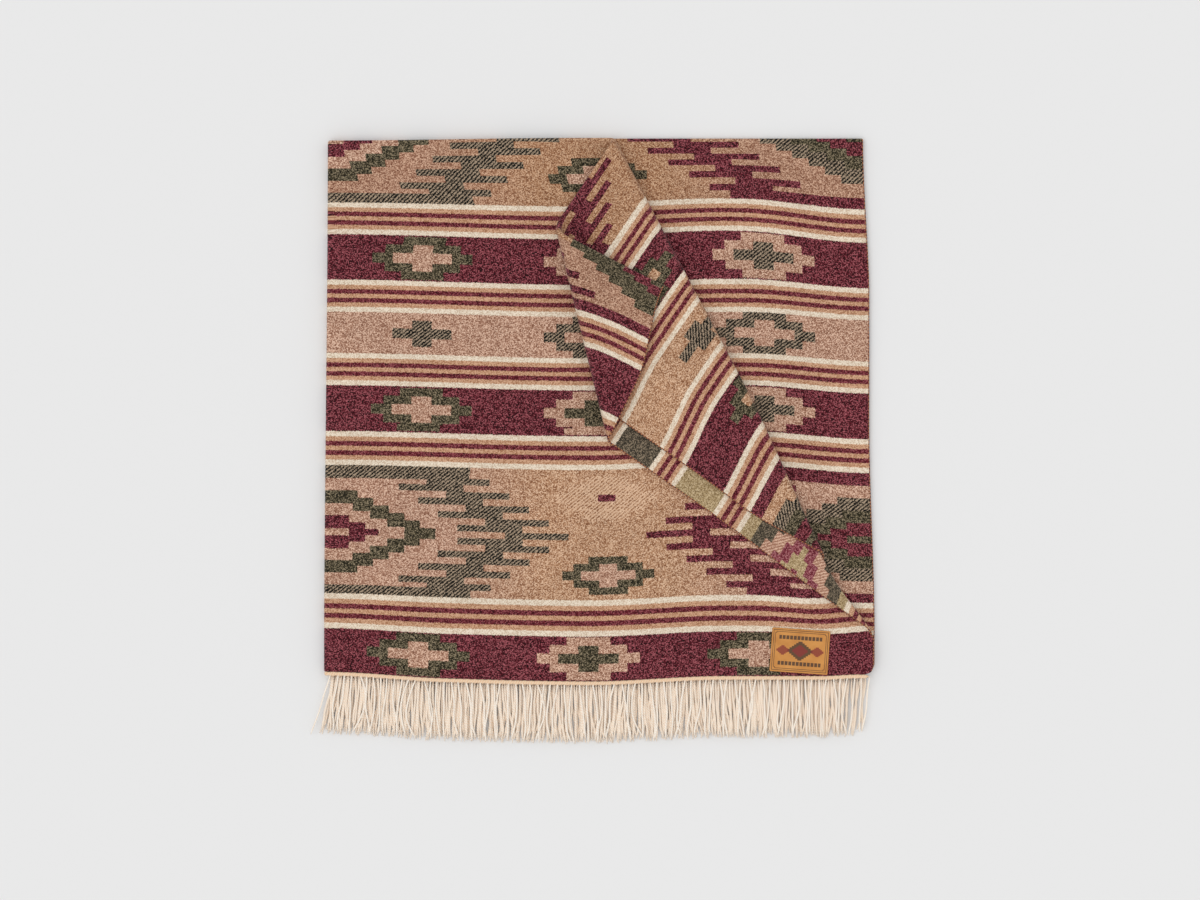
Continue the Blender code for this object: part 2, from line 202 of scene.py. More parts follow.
def applyFold(bm, fold, facets, settleFacets):
    start, along, across, length = foldFrame(fold)
    ends = ((start, fold["radii"][0]), (start + along * length, fold["radii"][1]))
    widest = max(fold["radii"]) * math.pi + fold["settle"] + cloth["foldMargin"]
    faces = [f for f in bm.faces if abs((f.calc_center_median().xy - start).dot(across)) < widest]
    geom = faces + list({e for f in faces for e in f.edges}) + list({v for f in faces for v in f.verts})
    for step in range(facets + 1):
        turned = math.pi * step / facets - 1.0
        geom = cut(bm, *[place + across * radius * turned for place, radius in ends], geom)
    for step in range(1, settleFacets + 1):
        slope = fold["settle"] * step / settleFacets
        line = [place + across * ((math.pi - 1.0) * radius + slope) for place, radius in ends]
        geom = cut(bm, *line, geom)
    for vert in bm.verts:
        vert.co = bend(vert.co, fold)


def meshObject(bm, name):
    mesh = bpy.data.meshes.new(name)
    bm.to_mesh(mesh)
    bm.free()
    mesh.shade_smooth()
    made = bpy.data.objects.new(name, mesh)
    bpy.context.collection.objects.link(made)
    return made


# The cloth: one dense slab with rounded rims, which is folded in the same way as its solid
cloth = {
    "cell": 0.0088, "facets": 10, "settleFacets": 6, "cornerRadius": 0.012, "selvedgeColumns": 2,
    "foldMargin": 0.012, "cutNear": 0.0002,
    "rim": ((0.0, 0.30), (0.0005, 0.72), (0.0013, 1.0)),   # how thick the rim is, at steps in from the edge
    # How far the weave has slipped in the folds, and where each slip starts, grows and fades
    "nearCreep": 0.0118, "nearStart": 0.140, "nearRun": 0.060, "foldRun": 0.012,
    "foldSlip": 0.0040, "foldSlipEnd": 0.050, "foldSlipFade": 0.030,
    "farSlip": 0.0048, "farRun": 0.045, "farEnd": 0.100, "farFade": 0.100, "farMiddle": 0.450,
    "farReach": 0.160, "farCreep": 0.0032, "farCreepRun": 0.200,
    "tipSlip": 0.0105, "tipInner": 0.510, "tipInnerRun": 0.110, "tipRun": 0.035, "tipEnd": 0.100,
    "tipFade": 0.090,
    "creepEnd": 0.008, "creepFade": 0.090, "flapSlip": 0.0155, "flapMiddle": 0.250, "flapReach": 0.330,
    "flapInner": 0.250, "flapRun": 0.120, "flapOuter": 0.560, "flapOuterRun": 0.100, "flapOuterLoss": 0.75,
}


def clothStations(low, high):   # grid lines from edge to edge, closer together at the two rims
    steps = [step for step, share in cloth["rim"]]
    inner = [low + steps[-1], high - steps[-1]]
    count = math.ceil((inner[1] - inner[0]) / cloth["cell"])
    middle = [inner[0] + (inner[1] - inner[0]) * i / count for i in range(count + 1)]
    return [low + step for step in steps[:-1]] + middle + [high - step for step in reversed(steps[:-1])]


def rimShare(inset):   # share of the full thickness at a distance in from the edge
    steps = cloth["rim"]
    for (near, nearShare), (far, farShare) in zip(steps, steps[1:]):
        if inset < far - 1e-7:
            return nearShare + (farShare - nearShare) * (inset - near) / (far - near)
    return 1.0


def roundCorner(u, v, lowU, highU):   # pulls the grid's corners in to a quarter circle
    radius = cloth["cornerRadius"]
    alongU = radius - min(u - lowU, highU - u)
    alongV = radius - (clothReach - abs(v))
    if alongU <= 0.0 or alongV <= 0.0:
        return u, v
    s, t = alongU / radius, alongV / radius
    newU = s * math.sqrt(1.0 - t * t / 2.0) * radius
    newV = t * math.sqrt(1.0 - s * s / 2.0) * radius
    inU, inV = alongU - newU, alongV - newV
    return u + (inU if u - lowU < highU - u else -inU), v + (inV if v < 0.0 else -inV)


def weaveAt(u, v):   # the pattern's place, as the weave has slipped a little in the folds
    if u < 0.0:
        far = ease(v / cloth["farRun"])
        slip = cloth["farSlip"] * far * (1.0 - ease((v - cloth["farEnd"]) / cloth["farFade"]))
        slip *= 1.0 - ease((-u - cloth["farMiddle"]) / cloth["farReach"])
        return u + cloth["farCreep"] * far * ease(-u / cloth["farCreepRun"]), v + slip
    creep = cloth["nearCreep"] * ease((v + cloth["nearStart"]) / cloth["nearRun"])
    creep *= 1.0 - ease((v - cloth["creepEnd"]) / cloth["creepFade"])
    slip = cloth["flapSlip"] * bump((v - cloth["flapMiddle"]) / cloth["flapReach"])
    slip += cloth["foldSlip"] * (1.0 - ease((v - cloth["foldSlipEnd"]) / cloth["foldSlipFade"]))
    slip *= ease(1.0 + v / cloth["foldRun"]) * ease((u - cloth["flapInner"]) / cloth["flapRun"])
    slip *= 1.0 - cloth["flapOuterLoss"] * ease((u - cloth["flapOuter"]) / cloth["flapOuterRun"])
    tip = cloth["tipSlip"] * ease((u - cloth["tipInner"]) / cloth["tipInnerRun"]) * ease(-v / cloth["tipRun"])
    slip -= tip * (1.0 - ease((-v - cloth["tipEnd"]) / cloth["tipFade"]))
    return u - creep, v + slip


def makeCloth():
    lowU, highU = lay["selvedgeStep"] - lay["width"] - lay["leftExtra"], lay["width"]
    edging = cloth["selvedgeColumns"]
    columns, rows = clothStations(lowU, highU), clothStations(-clothReach, clothReach)
    bm = bmesh.new()
    flat = bm.verts.layers.float_vector.new("flat")
    sheets = []
    for side in (1.0, -1.0):
        grid = []
        for v in rows:
            line = []
            for u in columns:
                thin = min(rimShare(u - lowU), rimShare(highU - u), rimShare(clothReach - abs(v)))
                placeU, placeV = roundCorner(u, v, lowU, highU)
                vert = bm.verts.new((placeU, placeV, side * thin * lay["thickness"] / 2))
                vert[flat] = (*weaveAt(placeU, placeV), side)
                line.append(vert)
            grid.append(line)
        for low, high in zip(grid, grid[1:]):
            for i in range(len(columns) - 1):
                corners = (low[i], low[i + 1], high[i + 1], high[i])
                face = bm.faces.new(corners if side > 0.0 else corners[::-1])
                onSelvedge = i < edging or i > len(columns) - 2 - edging
                face.material_index = 2 if onSelvedge else 0 if side > 0.0 else 1
        sheets.append(grid)
    front, back = sheets
    rimOf = [(g[0], g[-1], [r[0] for r in g], [r[-1] for r in g]) for g in (front, back)]
    for k, (top, under) in enumerate(zip(*rimOf)):
        for i in range(len(top) - 1):
            corners = (top[i], under[i], under[i + 1], top[i + 1])
            face = bm.faces.new(corners if k in (0, 3) else corners[::-1])
            face.material_index = 2
    print("cloth: flat slab of", len(bm.faces), "faces")
    for vert in bm.verts:
        v = vert.co.y
        share = lay["waist"] * ease((clothReach - abs(v) - lay["waistStart"]) / lay["waistRun"])
        vert.co.x = vert.co.x * (1.0 - share) - selvedgeStep(v) - pointStep(vert.co.x, v)
        vert.co.y += clothReach
    applyFold(bm, folds["top"], cloth["facets"], 0)
    for vert in bm.verts:
        vert.co.z += lay["pitch"] / 2
        vert.co.y -= sag(vert.co)
    applyFold(bm, folds["tip"], cloth["facets"], cloth["settleFacets"])
    applyFold(bm, folds["corner"], cloth["facets"], cloth["settleFacets"])
    for vert in bm.verts:
        if vert.co.x > 0.0:
            vert.co = pinch(vert.co)
    applyFold(bm, folds["left"], cloth["facets"], 0)
    for vert in bm.verts:
        vert.co = layDown(vert.co)
    bmesh.ops.recalc_face_normals(bm, faces=bm.faces)
    uv = bm.loops.layers.uv.new("flat")
    for face in bm.faces:
        for loop in face.loops:
            loop[uv].uv = loop.vert[flat].xy
    bm.verts.layers.float_vector.remove(flat)
    made = meshObject(bm, "throw_cloth_woven")
    print("cloth: folded,", len(made.data.polygons), "faces")
    return made


class Chart:
    # Works out a pattern with a material's Math and Mix nodes
    def __init__(self, tree):
        self.tree = tree

    def uvPlace(self, name):
        node = self.tree.nodes.new("ShaderNodeUVMap")
        node.uv_map = name
        return node.outputs["UV"]

    def split(self, vector):   # the vector's X and Y
        node = self.tree.nodes.new("ShaderNodeSeparateXYZ")
        self.tree.links.new(vector, node.inputs[0])
        return node.outputs["X"], node.outputs["Y"]

    def emboss(self, shader, height, strength, distance):
        node = self.tree.nodes.new("ShaderNodeBump")
        node.inputs["Strength"].default_value = strength
        node.inputs["Distance"].default_value = distance
        self.tree.links.new(height, node.inputs["Height"])
        self.tree.links.new(node.outputs["Normal"], shader.inputs["Normal"])

    def calc(self, operation, *values):
        node = self.tree.nodes.new("ShaderNodeMath")
        node.operation = operation
        for socket, value in zip(node.inputs, values):
            if isinstance(value, (int, float)):
                socket.default_value = value
            else:
                self.tree.links.new(value, socket)
        return node.outputs[0]

    def away(self, value, centre):   # distance from a centre
        return self.calc("ABSOLUTE", self.calc("SUBTRACT", value, centre))

    def below(self, value, limit):
        return self.calc("LESS_THAN", value, limit)

    def above(self, value, limit):
        return self.calc("GREATER_THAN", value, limit)

    def near(self, value, centre, half):
        return self.below(self.away(value, centre), half)

    def between(self, value, low, high):
        return self.both(self.above(value, low), self.below(value, high))

    def combine(self, operation, values):
        result = values[0]
        for value in values[1:]:
            result = self.calc(operation, result, value)
        return result

    def both(self, *masks):
        return self.combine("MULTIPLY", masks)

    def either(self, *masks):
        return self.combine("MAXIMUM", masks)

    def waves(self, value, pitch):   # climbs from 0 to 1 and back again, over and over
        return self.calc("PINGPONG", self.calc("DIVIDE", value, pitch), 1.0)

    def without(self, mask, other):
        return self.calc("MULTIPLY", mask, self.calc("SUBTRACT", 1.0, other))

    def box(self, a, b, halfA, halfB):
        return self.both(self.below(a, halfA), self.below(b, halfB))

    def paint(self, under, over, mask, blend="MIX"):   # a colour over another, where the mask is 1
        node = self.tree.nodes.new("ShaderNodeMix")
        node.data_type = "RGBA"
        node.blend_type = blend
        for index, value in ((0, mask), (6, under), (7, over)):
            socket = node.inputs[index]
            if hasattr(value, "is_linked"):
                self.tree.links.new(value, socket)
            else:
                socket.default_value = value
        return node.outputs[2]

    def texture(self, kind, vector, **settings):
        node = self.tree.nodes.new(kind)
        self.tree.links.new(vector, node.inputs["Vector"])
        for name, value in settings.items():
            node.inputs[name].default_value = value
        return node

    def noise(self, vector, scale, detail, output="Fac", **settings):
        node = self.texture("ShaderNodeTexNoise", vector, Scale=scale, Detail=detail, **settings)
        return node.outputs[output]

    def ramp(self, value, stops):
        node = self.tree.nodes.new("ShaderNodeValToRGB")
        elements = node.color_ramp.elements
        while len(elements) < len(stops):
            elements.new(0.5)
        for element, (place, colour) in zip(elements, stops):
            element.position = place
            element.color = colour
        self.tree.links.new(value, node.inputs["Fac"])
        return node.outputs["Color"]


def tone(red, green, blue):   # a colour as seen on screen, 0 to 255, as Blender's linear values
    return tuple(((c / 255.0) ** 2.2) for c in (red, green, blue)) + (1.0,)


def newMaterial(name, roughness, sheen):
    material = bpy.data.materials.new(name)
    material.use_nodes = True
    shader = material.node_tree.nodes["Principled BSDF"]
    shader.inputs["Roughness"].default_value = roughness
    shader.inputs["Sheen Weight"].default_value = sheen
    shader.inputs["Sheen Roughness"].default_value = 0.5
    shader.inputs["Specular IOR Level"].default_value = 0.2
    return material, Chart(material.node_tree), shader


# The woven pattern, in millimetres of the flat cloth and shares of a bar row or a band. d is the distance
# from the nearer fringe, a that from the pattern's own centre line, b the height above a motif's middle.
pattern = {
    "centreLine": 8.3, "bandCentres": (543.0, 451.0, 364.0, 270.5, 74.5),
    "bandHalves": (19.0, 19.0, 19.0, 20.0, 21.5),
    "narrowCentres": (497.0, 407.5, 317.7, 26.5), "narrowTop": 524.0, "narrowLow": 290.5,
    "plainZone": (383.0, 432.0), "motifStep": 202.0, "motifStepExtra": 7.0,
    "motifRows": ((61.0, 6.0), (46.0, 16.0), (26.0, 25.5)), "motifCross": ((36.0, 6.0), (12.0, 15.5)),
    "bigCentre": 171.0, "bigHalf": 80.0, "span": 632.0, "lowRightExtra": 22.0, "lowLeftLess": 13.0,
    "outerSteps": (49.4, 8.6, 28.6, 18.6), "innerSteps": (34.0, 9.0, 22.7, 20.6),   # as stepped() takes them
    "heartRows": ((18.4, 19.8), (37.7, 11.6), (53.4, 3.9)), "heartBar": (18.3, 4.2),
    "barPitch": 15.6, "barShift": 23.4, "outerBar": (204.7, 280.7), "innerBar": (147.7, 225.7),
    "barHalf": 0.25, "fullBar": (64.0, 162.7), "ghostBar": (10.5, 4.0),
    "smallAway": 46.0, "smallStretch": (63.0 / 56.5, 25.5 / 22.6), "elsewhere": 500.0,
    "lowZone": 300.0, "topZone": 400.0, "lowNarrow": 60.0, "middleReach": 190.0, "middleGain": 1.6,
    "wineStripe": (0.13, 0.42), "whiteStripe": 0.69,
}
# Each yarn's colours as seen on screen, from its dark specks to its light ones
frontYarns = {
    "ground": ((120, 78, 60), (174, 132, 110), (226, 190, 166)),
    "middle": ((122, 78, 52), (177, 133, 101), (224, 188, 157)),
    "burgundy": ((16, 0, 3), (81, 14, 29), (160, 88, 95)),
    "green": ((16, 14, 8), (60, 54, 37), (142, 128, 104)),
    "wine": ((50, 6, 16), (98, 27, 38), (150, 84, 88)),
    "twill": ((20, 18, 14), (162, 142, 120)),
    "white": ((200, 178, 154), (233, 218, 197)),
    "stripe": ((160, 114, 84), (205, 162, 131)),
}
backYarns = dict(
    frontYarns,
    ground=((44, 40, 34), (74, 66, 54), (140, 124, 104)),
    middle=((44, 40, 34), (74, 66, 54), (140, 124, 104)),
    burgundy=((120, 98, 68), (162, 138, 100), (200, 178, 142)),
    green=((84, 28, 38), (122, 52, 62), (176, 118, 120)),
    twill=((156, 112, 92), (214, 176, 152)),
)
# How the yarns look: cells and pitches in millimetres, the noises' scales for each metre
weave = {
    "roughness": 0.92, "sheen": 0.10, "grainCells": (1.15, 0.95), "grainTurn": -42.0, "speckShare": 0.80,
    "blurScale": 900.0, "frayScale": 330.0, "frayAlong": 2.4, "frayAcross": 2.0, "slope": -1.25,
    "yarnStops": (0.12, 0.50, 0.86), "twillPitch": 2.7, "twillGrain": 1.2, "twillStops": (0.43, 0.80),
    "stripeStops": (0.30, 0.60), "whiteStops": (0.30, 0.55), "dotPitch": 2.6, "dotLimit": 0.62,
    "ghostShare": 0.80, "topShade": (238, 232, 226), "ribPitch": 1.9, "ribShade": 0.12,
    "cloudScale": 14.0, "cloudShade": 0.30, "baseShade": 0.79,
    "bumpStrength": 0.5, "bumpDistance": 0.0006, "bumpGrain": 0.5,
}


def wovenMaterial(name, yarns):
    material, chart, shader = newMaterial(name, weave["roughness"], weave["sheen"])
    tree = material.node_tree
    place = chart.uvPlace("flat")
    placeU, placeV = chart.split(place)

    # Yarn-sized unevenness, which also frays the edges of the motifs a little
    cellU, cellV = weave["grainCells"]
    turned = tree.nodes.new("ShaderNodeMapping")
    turned.inputs["Rotation"].default_value = (0.0, 0.0, math.radians(weave["grainTurn"]))
    turned.inputs["Scale"].default_value = (1000.0 / cellU, 1000.0 / cellV, 0.0)
    tree.links.new(place, turned.inputs["Vector"])
    cells = tree.nodes.new("ShaderNodeVectorMath")
    cells.operation = "FLOOR"
    tree.links.new(turned.outputs["Vector"], cells.inputs[0])
    speck = chart.texture("ShaderNodeTexWhiteNoise", cells.outputs[0]).outputs["Value"]
    blur = chart.noise(place, weave["blurScale"], 1.0, Roughness=0.7)
    blur = chart.calc("MULTIPLY", blur, 1.0 - weave["speckShare"])
    grain = chart.calc("MULTIPLY_ADD", speck, weave["speckShare"], blur)
    frayU, frayV = chart.split(chart.noise(place, weave["frayScale"], 1.0, "Color"))
    u = chart.calc("MULTIPLY", placeU, 1000.0)
    v = chart.calc("MULTIPLY", placeV, 1000.0)
    tooth = chart.calc("PINGPONG", u, 1.0)
    u = chart.calc("MULTIPLY_ADD", chart.calc("SUBTRACT", frayU, 0.5), weave["frayAlong"], u)
    wobble = chart.calc("MULTIPLY_ADD", chart.calc("SUBTRACT", frayV, 0.5), weave["frayAcross"], tooth)
    absV = chart.calc("ADD", chart.calc("ABSOLUTE", v), chart.calc("SUBTRACT", wobble, 0.5))
    d = chart.calc("SUBTRACT", clothReach * 1000.0, absV)
    onRight = chart.above(u, pattern["centreLine"])
    a = chart.away(u, pattern["centreLine"])

    def shaded(value, kind, stops):
        return chart.ramp(value, [(stop, tone(*colour)) for stop, colour in zip(weave[stops], yarns[kind])])

    def yarn(kind):
        return shaded(grain, kind, "yarnStops")

    slant = chart.calc("MULTIPLY_ADD", v, weave["slope"], u)
    twill = chart.waves(slant, weave["twillPitch"])
    twill = chart.calc("MULTIPLY_ADD", chart.calc("SUBTRACT", grain, 0.5), weave["twillGrain"], twill)
    twillColour = shaded(twill, "twill", "twillStops")
    burgundy, green = yarn("burgundy"), yarn("green")

    # Ground: tan between the motifs, pinker beside them
    isNear, isLow = chart.below(v, 0.0), chart.below(d, pattern["lowZone"])
    isTop = chart.above(d, pattern["topZone"])
    lowRight = chart.both(onRight, isNear, isLow)
    span = chart.calc("MULTIPLY_ADD", lowRight, pattern["lowRightExtra"], pattern["span"])
    span = chart.calc("MULTIPLY_ADD", chart.without(isLow, onRight), -pattern["lowLeftLess"], span)
    toMiddle = chart.away(a, chart.calc("MULTIPLY", span, 0.5))
    inMiddle = chart.calc("SUBTRACT", 1.0, chart.calc("DIVIDE", toMiddle, pattern["middleReach"]))
    inMiddle = chart.calc("MULTIPLY", chart.calc("MAXIMUM", inMiddle, 0.0), pattern["middleGain"])
    inMiddle = chart.calc("MINIMUM", inMiddle, 1.0)
    ground = chart.paint(yarn("ground"), yarn("middle"), chart.both(onRight, chart.above(v, 0.0)))
    colour = chart.paint(ground, yarn("middle"), inMiddle)
    # Painted shade: the whole top zone, beside the raised rolled tip, is multiplied a little darker
    colour = chart.paint(colour, tone(*weave["topShade"]), isTop, "MULTIPLY")

    # The big zones
    b = chart.calc("SUBTRACT", d, pattern["bigCentre"])
    topB = chart.calc("ABSOLUTE", v)
    signedB = chart.calc("ADD", chart.without(b, isTop), chart.calc("MULTIPLY", topB, isTop))
    absB = chart.calc("ABSOLUTE", signedB)
    inBig = chart.below(absB, pattern["bigHalf"])
    fromB = chart.away(span, a)
    nearA = chart.below(a, fromB)
    p = chart.calc("MINIMUM", a, fromB)

    def stepped(high, step, first, run):   # inside a stepped outline that narrows away from its middle
        steps = chart.calc("CEIL", chart.calc("DIVIDE", chart.calc("SUBTRACT", p, first), run))
        edge = chart.calc("SUBTRACT", high, chart.calc("MULTIPLY", chart.calc("MAXIMUM", steps, 0.0), step))
        return chart.below(absB, edge)

    outer, inner = stepped(*pattern["outerSteps"]), stepped(*pattern["innerSteps"])
    heart = chart.either(*[chart.box(p, absB, *row) for row in pattern["heartRows"]])
    heart = chart.without(heart, chart.box(p, absB, *pattern["heartBar"]))

    row = chart.calc("DIVIDE", absB, pattern["barPitch"])
    outerRow = chart.calc("ROUND", row)
    innerRow = chart.calc("FLOOR", row)
    onOuter = chart.near(row, outerRow, pattern["barHalf"])
    onInner = chart.near(chart.calc("SUBTRACT", row, innerRow), 0.5, pattern["barHalf"])

    def bars(onRow, index, ends):
        slid = chart.calc("MULTIPLY_ADD", index, pattern["barShift"], p)
        return chart.both(onRow, chart.between(slid, *ends))

    chevron = chart.either(
        bars(onOuter, outerRow, pattern["outerBar"]), bars(onInner, innerRow, pattern["innerBar"]),
        chart.both(chart.above(absB, pattern["fullBar"][0]), chart.below(p, pattern["fullBar"][1])))
    outlineColour = chart.paint(twillColour, green, chart.either(nearA, chart.both(onRight, isTop)))
    for shape, shapeColour in ((chevron, chart.paint(burgundy, twillColour, nearA)), (outer, outlineColour),
                               (inner, chart.paint(green, ground, nearA)), (heart, burgundy)):
        colour = chart.paint(colour, shapeColour, chart.both(shape, inBig))

    def motifShape(part, across, upward):
        return chart.either(*[chart.box(across, upward, *size) for size in pattern[part]])

    # The small diamond and its ghost, in the middle of the big zones
    farOff = pattern["elsewhere"]
    lowB = chart.away(signedB, -pattern["smallAway"])
    upperB = chart.calc("MULTIPLY_ADD", chart.calc("SUBTRACT", 1.0, isTop), farOff,
                        chart.away(topB, pattern["smallAway"]))
    lowB = chart.calc("MINIMUM", lowB, upperB)
    scaleA = chart.calc("MULTIPLY", toMiddle, pattern["smallStretch"][0])
    scaleB = chart.calc("MULTIPLY", lowB, pattern["smallStretch"][1])
    for part, over in (("motifRows", green), ("motifCross", ground)):
        colour = chart.paint(colour, over, chart.both(motifShape(part, scaleA, scaleB), inBig))
    ghostB = chart.calc("MULTIPLY_ADD", isTop, farOff, chart.away(signedB, pattern["smallAway"]))
    ghost = motifShape("motifRows", toMiddle, ghostB)
    dots = chart.waves(slant, weave["dotPitch"])
    ghostFill = chart.both(ghost, inBig, chart.above(dots, weave["dotLimit"]))
    ghostFill = chart.calc("MULTIPLY", ghostFill, weave["ghostShare"])
    colour = chart.paint(colour, tone(*yarns["middle"][2]), ghostFill)
    ghostBar = chart.both(chart.box(toMiddle, ghostB, *pattern["ghostBar"]), inBig)
    colour = chart.paint(colour, burgundy, ghostBar)

    # The narrow zones and their diamonds
    inNarrow = chart.between(d, pattern["narrowLow"], pattern["narrowTop"])
    inNarrow = chart.either(inNarrow, chart.below(d, pattern["lowNarrow"]))
    inPlain = chart.between(d, *pattern["plainZone"])
    colour = chart.paint(colour, chart.paint(burgundy, ground, inPlain), inNarrow)
    stepExtra = chart.without(isNear, isLow)
    motifStep = chart.calc("MULTIPLY_ADD", stepExtra, pattern["motifStepExtra"], pattern["motifStep"])
    column = chart.calc("FLOOR", chart.calc("DIVIDE", a, motifStep))
    motifMiddle = chart.calc("MULTIPLY", chart.calc("ADD", column, 0.5), motifStep)
    motifA = chart.away(a, motifMiddle)
    motifB = chart.combine("MINIMUM", [chart.away(d, centre) for centre in pattern["narrowCentres"]])
    motif = chart.both(motifShape("motifRows", motifA, motifB), inNarrow)
    cross = chart.both(motifShape("motifCross", motifA, motifB), inNarrow)
    odd = chart.between(column, 0.5, 1.5)
    greenOutside = chart.away(onRight, odd)
    crossOnly = chart.both(inPlain, greenOutside)
    outside = chart.paint(ground, green, greenOutside)
    outside = chart.paint(outside, twillColour, inPlain)
    inside = chart.paint(chart.paint(twillColour, green, onRight), ground, greenOutside)
    inside = chart.paint(inside, ground, inPlain)
    colour = chart.paint(colour, outside, chart.without(motif, crossOnly))
    colour = chart.paint(colour, inside, chart.without(cross, crossOnly))
    colour = chart.paint(colour, twillColour, chart.both(cross, crossOnly))

    # The striped bands
    bands = zip(pattern["bandCentres"], pattern["bandHalves"])
    bandAway = chart.combine("MINIMUM", [chart.calc("DIVIDE", chart.away(d, centre), half)
                                         for centre, half in bands])
    stripe = shaded(grain, "stripe", "stripeStops")
    white = shaded(grain, "white", "whiteStops")
    band = chart.paint(stripe, yarn("wine"), chart.between(bandAway, *pattern["wineStripe"]))
    band = chart.paint(band, white, chart.above(bandAway, pattern["whiteStripe"]))
    colour = chart.paint(colour, band, chart.below(bandAway, 1.0))

    # Diagonal ribs of the twill and slow changes of shade
    rib = chart.waves(slant, weave["ribPitch"])
    cloudy = chart.noise(place, weave["cloudScale"], 3.0)
    shade = chart.calc("MULTIPLY_ADD", cloudy, weave["cloudShade"], weave["baseShade"])
    shade = chart.calc("MULTIPLY_ADD", rib, weave["ribShade"], shade)
    shadeColour = tree.nodes.new("ShaderNodeCombineColor")
    for socket in ("Red", "Green", "Blue"):
        tree.links.new(shade, shadeColour.inputs[socket])
    colour = chart.paint(colour, shadeColour.outputs[0], 1.0, "MULTIPLY")
    tree.links.new(colour, shader.inputs["Base Color"])
    chart.emboss(shader, chart.calc("MULTIPLY_ADD", grain, weave["bumpGrain"], rib), weave["bumpStrength"],
                 weave["bumpDistance"])
    return material


selvedge = {
    "roughness": 0.9, "sheen": 0.2, "stitch": 0.0021,
    "tones": [(0.35, tone(88, 48, 42)), (0.65, tone(164, 108, 74))],
}


def selvedgeMaterial():
    material, chart, shader = newMaterial("selvedge thread", selvedge["roughness"], selvedge["sheen"])
    along = chart.split(chart.uvPlace("flat"))[1]
    stitch = chart.waves(along, selvedge["stitch"])
    colour = chart.ramp(stitch, selvedge["tones"])
    material.node_tree.links.new(colour, shader.inputs["Base Color"])
    return material


woven = makeCloth()
for material in (wovenMaterial("woven front", frontYarns), wovenMaterial("woven back", backYarns),
                 selvedgeMaterial()):
    woven.data.materials.append(material)
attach(woven, "root")
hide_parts("throw_cloth")
print("cloth: woven pattern done")


# The fringes: an uneven header cord along each end, and soft plied strands out of it
fringe = {
    "headerDepth": 0.0046, "headerThickness": 0.0024, "headerEndIn": 0.006, "headerSides": 8,
    "strandPitch": 0.0084, "lowerPitch": 0.0031, "strandWidth": 0.0023, "lowerWidth": 0.0027,
    "strandSides": 5, "strandRings": 12, "lowerRings": 7,
    "length": 0.069, "lengthSpread": 0.004, "margin": 0.0060, "drop": 0.014,
    "sway": 0.0072, "curl": 0.0048, "wander": 0.0026, "strayChance": 0.10, "stray": 2.2,
    "clump": 0.010, "clumpSize": 0.024, "splayLeft": 0.0150, "splayRight": 0.0075, "splayReach": 0.035,
    "rest": (0.0069, 0.0049, 0.0029, 0.0012), "seed": 7,
    "knot": 0.16, "roundEnd": 0.004, "headerStart": 0.05, "probe": 0.0005, "levelLimit": 0.3,
    "pairSway": 0.4, "ownSway": 0.6, "clumpRow": 3.7, "lowerLoose": 0.4, "thinnest": 0.88, "thickest": 1.1,
    "wanderTurns": 1.3, "ripple": 0.0003, "tipWidth": 0.45, "rootWidth": 0.8, "jitter": 0.0009,
    "lowerUv": 1.0, "headerUv": 2.0,   # marks in the yarn's UV map that tell the material what it is on
}


def headerPoint(x, side):   # where a place along the flat header lies once the throw is folded
    point = Vector((x, -fringe["headerDepth"] / 2, side * lay["pitch"] / 2))
    point.y -= sag(point)
    return layDown(bend(point, folds["left"]))


def bridgeRings(bm, uv, rings, sides, mark):   # skins a row of rings, closes its ends and maps it
    for (low, lowPlace), (high, highPlace) in zip(rings, rings[1:]):
        for k in range(sides):
            n = (k + 1) % sides
            face = bm.faces.new((low[k], low[n], high[n], high[k]))
            places = ((k, lowPlace), (k + 1, lowPlace), (k + 1, highPlace), (k, highPlace))
            for loop, (across, run) in zip(face.loops, places):
                loop[uv].uv = (across / sides + mark, run)
    bm.faces.new(rings[0][0])
    bm.faces.new(rings[-1][0][::-1])


def makeHeader(bm, uv, lowX, highX, side):
    step = fringe["strandPitch"] / 3
    count = math.ceil((highX - lowX) / step)
    rings = []
    for i in range(count + 1):
        x = lowX + (highX - lowX) * i / count
        centre = headerPoint(x, side)
        ahead = headerPoint(x + fringe["probe"], side) - headerPoint(x - fringe["probe"], side)
        ahead.normalize()
        outward = Vector((ahead.y, -ahead.x, 0.0))
        isLevel = outward.length > fringe["levelLimit"]
        outward = outward.normalized() if isLevel else Vector((0.0, -1.0, 0.0))
        upward = ahead.cross(outward)
        fromEnd = min(x - lowX, highX - x) / fringe["roundEnd"]
        ends = math.sqrt(max(fringe["headerStart"], min(1.0, fromEnd)))
        knot = 1.0 + fringe["knot"] * math.cos(math.tau * x / fringe["strandPitch"])
        ring = []
        for k in range(fringe["headerSides"]):
            turn = math.tau * k / fringe["headerSides"]
            along = outward * math.cos(turn) * fringe["headerDepth"] / 2 * ends * knot
            lifted = upward * math.sin(turn) * fringe["headerThickness"] / 2 * ends * knot
            ring.append(bm.verts.new(centre + along + lifted))
        rings.append((ring, x))
    bridgeRings(bm, uv, rings, fringe["headerSides"], fringe["headerUv"])


